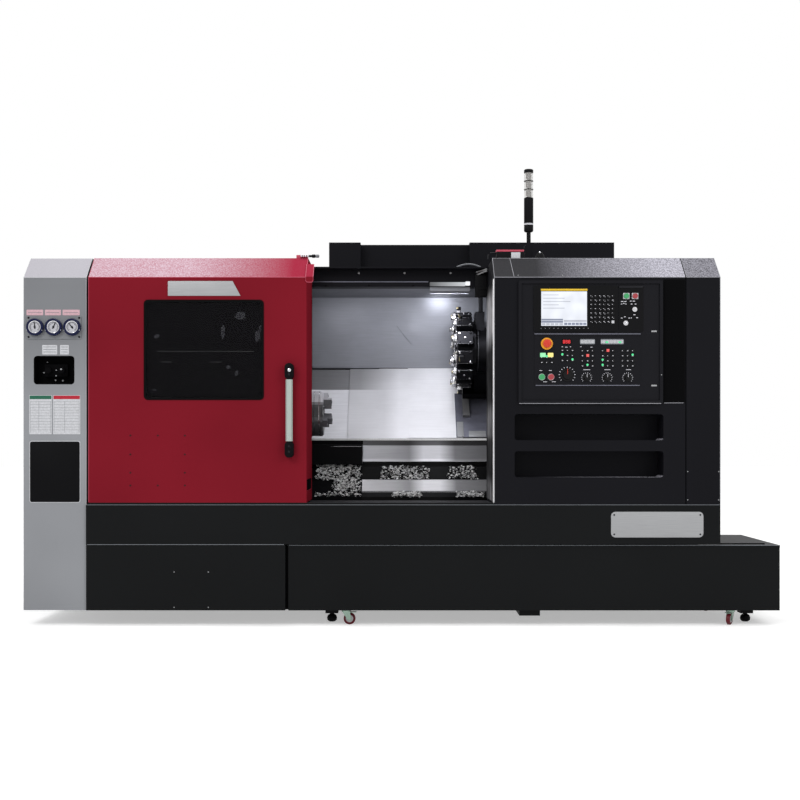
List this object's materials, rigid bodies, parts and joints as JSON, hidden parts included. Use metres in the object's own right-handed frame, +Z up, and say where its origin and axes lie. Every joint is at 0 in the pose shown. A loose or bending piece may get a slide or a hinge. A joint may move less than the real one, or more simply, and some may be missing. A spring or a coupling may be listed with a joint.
{
  "type": "cnc turning lathe",
  "caption": "Slant-bed turning lathe in a sheet-metal enclosure with a sliding hood door, tool turret, power chuck, control console and wheeled coolant tank.",
  "frame": {"origin": "on the floor, under the middle of the machine's outer box", "axes": "+X to the operator's right along the spindle, +Y from the operator into the machine, +Z up"},
  "size_m": [3.9, 1.9, 2.416],
  "materials": {
    "casting_grey": "painted casting",
    "black_paint": "fine texture, satin",
    "red_paint": "gloss enamel",
    "grey_paint": "satin enamel",
    "stainless": "brushed sheet",
    "bright_steel": "machined",
    "blackened_steel": "blackened",
    "window_glass": "laminated, dark",
    "seal_rubber": "matt",
    "handle_aluminium": "satin anodised",
    "black_plastic": "moulded",
    "screen_glass": "lit screen",
    "lamp_plastic": "frosted",
    "gauge_chrome": "polished rim",
    "needle_black": "matt",
    "button_red": "moulded",
    "button_green": "moulded, lit",
    "zinc_fork": "zinc plated",
    "caster_tyre": "polyurethane",
    "tower_plastic": "moulded with clear lenses",
    "conduit_grey": "ribbed sleeve"
  },
  "bodies": {
    "machine": {"machine_bed": "casting_grey", "levelling_feet": "bright_steel", "front_apron": "black_paint", "left_skirt": "black_paint", "services_column": "grey_paint", "gauge_cases": "gauge_chrome", "headstock_cover": "black_paint", "header_beam": "black_paint", "roof_conduit": "conduit_grey", "work_light": "lamp_plastic", "splash_wall": "stainless", "bed_guard": "stainless", "headstock": "casting_grey", "right_enclosure": "black_paint", "end_cabinet": "black_paint", "console_frame": "black_paint", "display_unit": "black_plastic", "screen": "screen_glass", "switch_panel": "black_plastic", "operator_panel": "black_plastic", "coolant_tank": "black_paint", "tower_foot": "black_paint", "rear_cover": "black_paint", "electrical_cabinet": "black_paint"},
    "door": {"door_shell": "red_paint", "door_window": "window_glass", "window_gasket": "seal_rubber", "handle_bar": "handle_aluminium", "handle_ends": "black_plastic"},
    "spindle": {"spindle": "bright_steel", "chuck_body": "bright_steel"},
    "jaw_1": {"chuck_jaw_1": "bright_steel"},
    "jaw_2": {"chuck_jaw_2": "bright_steel"},
    "jaw_3": {"chuck_jaw_3": "bright_steel"},
    "carriage": {"saddle": "stainless"},
    "cover_1": {"way_cover_1": "stainless"},
    "cover_2": {"way_cover_2": "stainless"},
    "turret_slide": {"turret_slide": "casting_grey"},
    "turret": {"turret_disc": "bright_steel", "tool_holders": "blackened_steel"},
    "needle_1": {"gauge_needle_1": "needle_black"},
    "needle_2": {"gauge_needle_2": "needle_black"},
    "needle_3": {"gauge_needle_3": "needle_black"},
    "e_stop": {"e_stop_button": "button_red"},
    "cycle_start": {"cycle_start_button": "button_green"},
    "feed_hold": {"feed_hold_button": "button_red"},
    "power_on": {"power_on_button": "button_green"},
    "power_off": {"power_off_button": "button_red"},
    "mode_dial": {"mode_dial": "black_plastic"},
    "spindle_knob": {"spindle_knob": "black_plastic"},
    "feed_knob": {"feed_knob": "black_plastic"},
    "rapid_knob": {"rapid_knob": "black_plastic"},
    "caster_fork_1": {"caster_fork_1": "zinc_fork"},
    "caster_fork_2": {"caster_fork_2": "zinc_fork"},
    "caster_wheel_1": {"caster_wheel_1": "caster_tyre"},
    "caster_wheel_2": {"caster_wheel_2": "caster_tyre"},
    "caster_wheel_3": {"caster_wheel_3": "caster_tyre"},
    "caster_wheel_4": {"caster_wheel_4": "caster_tyre"},
    "signal_tower": {"signal_tower": "tower_plastic"},
    "cabinet_door": {"cabinet_door": "black_paint"}
  },
  "joints": [
    {"name": "door_slide", "type": "slide", "parent": "machine", "child": "door", "axis": [1, 0, 0], "range_m": [0, 0.962]},
    {"name": "spindle_spin", "type": "hinge", "parent": "machine", "child": "spindle", "pos_m": [-0.438, -0.265, 1.109], "axis": [1, 0, 0], "continuous": true},
    {"name": "jaw_1_slide", "type": "slide", "parent": "spindle", "child": "jaw_1", "axis": [0, 0, 1], "range_m": [-0.004, 0.006]},
    {"name": "jaw_2_slide", "type": "slide", "parent": "spindle", "child": "jaw_2", "axis": [0, -0.866, -0.5], "range_m": [-0.004, 0.006]},
    {"name": "jaw_3_slide", "type": "slide", "parent": "spindle", "child": "jaw_3", "axis": [0, 0.866, -0.5], "range_m": [-0.004, 0.006]},
    {"name": "carriage_slide", "type": "slide", "parent": "machine", "child": "carriage", "axis": [-1, 0, 0], "range_m": [0, 0.54]},
    {"name": "cover_1_slide", "type": "slide", "parent": "machine", "child": "cover_1", "axis": [-1, 0, 0], "range_m": [0, 0.18]},
    {"name": "cover_2_slide", "type": "slide", "parent": "machine", "child": "cover_2", "axis": [-1, 0, 0], "range_m": [0, 0.36]},
    {"name": "cross_slide", "type": "slide", "parent": "carriage", "child": "turret_slide", "axis": [0, 0.7071, 0.7071], "range_m": [-0.11, 0.04]},
    {"name": "turret_index", "type": "hinge", "parent": "turret_slide", "child": "turret", "pos_m": [0.33, 0.12292, 1.49692], "axis": [1, 0, 0], "continuous": true},
    {"name": "needle_1_turn", "type": "hinge", "parent": "machine", "child": "needle_1", "pos_m": [-1.886, -0.913, 1.54], "axis": [0, 1, 0], "range_deg": [-130, 140]},
    {"name": "needle_2_turn", "type": "hinge", "parent": "machine", "child": "needle_2", "pos_m": [-1.7905, -0.913, 1.54], "axis": [0, 1, 0], "range_deg": [-160, 110]},
    {"name": "needle_3_turn", "type": "hinge", "parent": "machine", "child": "needle_3", "pos_m": [-1.695, -0.913, 1.54], "axis": [0, 1, 0], "range_deg": [-95, 175]},
    {"name": "e_stop_press", "type": "slide", "parent": "machine", "child": "e_stop", "axis": [0, 1, 0], "range_m": [0, 0.004], "stiffness_N_per_m": 600},
    {"name": "cycle_start_press", "type": "slide", "parent": "machine", "child": "cycle_start", "axis": [0, 1, 0], "range_m": [0, 0.004], "stiffness_N_per_m": 300},
    {"name": "feed_hold_press", "type": "slide", "parent": "machine", "child": "feed_hold", "axis": [0, 1, 0], "range_m": [0, 0.004], "stiffness_N_per_m": 300},
    {"name": "power_on_press", "type": "slide", "parent": "machine", "child": "power_on", "axis": [0, 1, 0], "range_m": [0, 0.004], "stiffness_N_per_m": 300},
    {"name": "power_off_press", "type": "slide", "parent": "machine", "child": "power_off", "axis": [0, 1, 0], "range_m": [0, 0.004], "stiffness_N_per_m": 300},
    {"name": "mode_dial_turn", "type": "hinge", "parent": "machine", "child": "mode_dial", "pos_m": [0.85, -0.913, 1.293], "axis": [0, 1, 0], "range_deg": [-135, 135]},
    {"name": "spindle_knob_turn", "type": "hinge", "parent": "machine", "child": "spindle_knob", "pos_m": [0.95, -0.913, 1.279], "axis": [0, 1, 0], "range_deg": [-140, 140]},
    {"name": "feed_knob_turn", "type": "hinge", "parent": "machine", "child": "feed_knob", "pos_m": [1.0555, -0.913, 1.279], "axis": [0, 1, 0], "range_deg": [-140, 140]},
    {"name": "rapid_knob_turn", "type": "hinge", "parent": "machine", "child": "rapid_knob", "pos_m": [1.161, -0.913, 1.279], "axis": [0, 1, 0], "range_deg": [-140, 140]},
    {"name": "caster_1_swivel", "type": "hinge", "parent": "machine", "child": "caster_fork_1", "pos_m": [-0.289, -0.827, 0.066], "axis": [0, 0, 1], "continuous": true},
    {"name": "caster_2_swivel", "type": "hinge", "parent": "machine", "child": "caster_fork_2", "pos_m": [1.712, -0.827, 0.066], "axis": [0, 0, 1], "continuous": true},
    {"name": "wheel_1_roll", "type": "hinge", "parent": "caster_fork_1", "child": "caster_wheel_1", "pos_m": [-0.271, -0.827, 0.031], "axis": [0, 1, 0], "continuous": true},
    {"name": "wheel_2_roll", "type": "hinge", "parent": "caster_fork_2", "child": "caster_wheel_2", "pos_m": [1.70246, -0.84226, 0.031], "axis": [-0.848, 0.5299, 0], "continuous": true},
    {"name": "wheel_3_roll", "type": "hinge", "parent": "machine", "child": "caster_wheel_3", "pos_m": [-0.289, -0.305, 0.031], "axis": [0, 1, 0], "continuous": true},
    {"name": "wheel_4_roll", "type": "hinge", "parent": "machine", "child": "caster_wheel_4", "pos_m": [1.712, -0.305, 0.031], "axis": [0, 1, 0], "continuous": true},
    {"name": "tower_fold", "type": "hinge", "parent": "machine", "child": "signal_tower", "pos_m": [0.685, -0.605, 1.998], "axis": [0, 1, 0], "range_deg": [0, 90]},
    {"name": "cabinet_door_swing", "type": "hinge", "parent": "machine", "child": "cabinet_door", "pos_m": [1.318, 0.907, 1.1], "axis": [0, 0, -1], "range_deg": [0, 110]}
  ],
  "couplings": [
    {"joint": "jaw_2_slide", "follows": "jaw_1_slide", "ratio": 1},
    {"joint": "jaw_3_slide", "follows": "jaw_1_slide", "ratio": 1},
    {"joint": "cover_1_slide", "follows": "carriage_slide", "ratio": 0.33333},
    {"joint": "cover_2_slide", "follows": "carriage_slide", "ratio": 0.66667}
  ]
}
